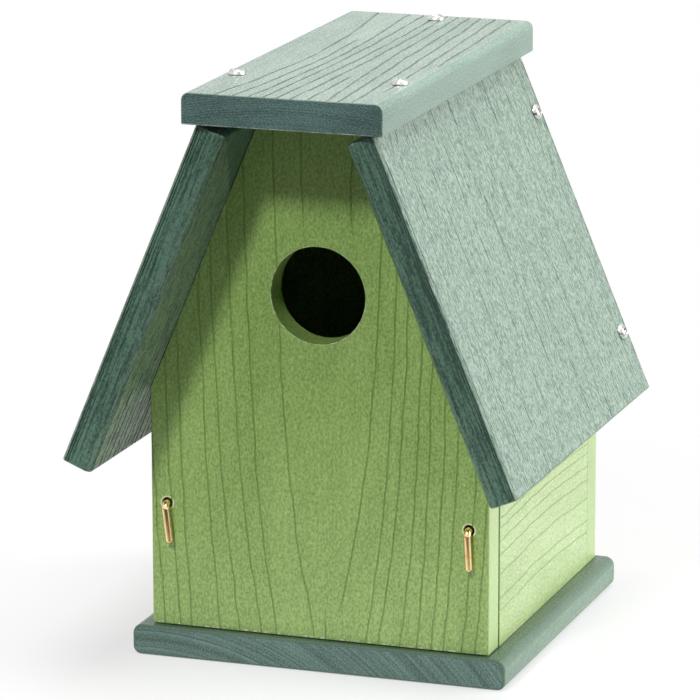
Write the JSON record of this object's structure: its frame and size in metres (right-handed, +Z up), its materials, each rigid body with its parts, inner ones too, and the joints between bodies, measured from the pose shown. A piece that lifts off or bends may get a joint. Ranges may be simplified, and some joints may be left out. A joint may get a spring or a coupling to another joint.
{
  "type": "bluebird house",
  "caption": "Steep-roofed nest box of plastic boards with a round entrance, a ridge cap and a front panel that comes off once its screw hooks are undone.",
  "frame": {"origin": "centre of the base board's underside", "axes": "+Z up, -Y out of the front with the entrance, +X to the right as seen from the front"},
  "size_m": [0.1902, 0.1962, 0.2445],
  "materials": {
    "green_board": "recycled-plastic board, embossed wood grain, leaf green",
    "dark_board": "recycled-plastic board, embossed wood grain, dark grey green",
    "brass_hook": "bright brass wire",
    "steel_screw": "plain bright steel"
  },
  "bodies": {
    "house": {"base_board": "dark_board", "back_panel": "green_board", "left_wall": "green_board", "right_wall": "green_board", "left_roof_board": "dark_board", "right_roof_board": "dark_board", "ridge_cap": "dark_board", "cap_screw_left": "steel_screw", "cap_screw_right": "steel_screw", "cap_screw_rear": "steel_screw", "roof_screw_left_upper": "steel_screw", "roof_screw_left_lower": "steel_screw", "roof_screw_right_upper": "steel_screw", "roof_screw_right_lower": "steel_screw", "back_screw_left_lower": "steel_screw", "back_screw_left_upper": "steel_screw", "back_screw_right_lower": "steel_screw", "back_screw_right_upper": "steel_screw", "base_screw_left_front": "steel_screw", "base_screw_left_rear": "steel_screw", "base_screw_right_front": "steel_screw", "base_screw_right_rear": "steel_screw"},
    "front_panel": {"front_panel": "green_board"},
    "left_hook": {"left_hook": "brass_hook"},
    "right_hook": {"right_hook": "brass_hook"}
  },
  "joints": [
    {"name": "front_panel_pull", "type": "slide", "parent": "house", "child": "front_panel", "axis": [0, -1, 0], "range_m": [0, 0.1]},
    {"name": "left_hook_turn", "type": "hinge", "parent": "front_panel", "child": "left_hook", "pos_m": [-0.06505, -0.0754, 0.0643], "axis": [0, -1, 0], "continuous": true},
    {"name": "right_hook_turn", "type": "hinge", "parent": "front_panel", "child": "right_hook", "pos_m": [0.06325, -0.0754, 0.0643], "axis": [0, -1, 0], "continuous": true}
  ]
}
